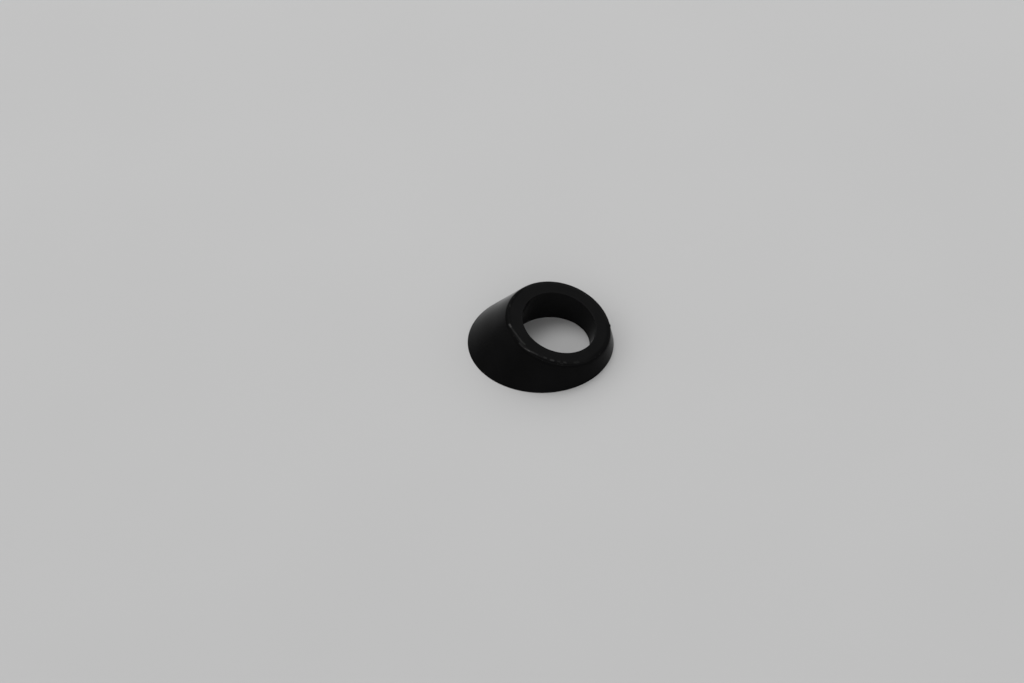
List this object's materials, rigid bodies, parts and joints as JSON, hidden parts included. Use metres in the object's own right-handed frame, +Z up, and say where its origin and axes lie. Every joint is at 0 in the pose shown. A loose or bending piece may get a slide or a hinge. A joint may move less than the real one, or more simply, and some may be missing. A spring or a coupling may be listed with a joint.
{
  "type": "wiper linkage spacer",
  "caption": "Leaning conical ring with a round bore and a flat base cut at an angle, which lets a wiper spindle's nut tighten square above a sloping panel.",
  "frame": {"origin": "where the bore's axis meets the flat base", "axes": "+Z is up, away from the panel that the base lies on; +X is the side that the bore leans towards, which is the short side of the ring; the XZ plane is the ring's plane of symmetry"},
  "size_m": [0.0321, 0.0306, 0.0106],
  "materials": {
    "black_plastic": "satin black, as moulded, with light scuffs along the rim"
  },
  "bodies": {
    "root": {"angled_spacer": "black_plastic"}
  },
  "joints": []
}
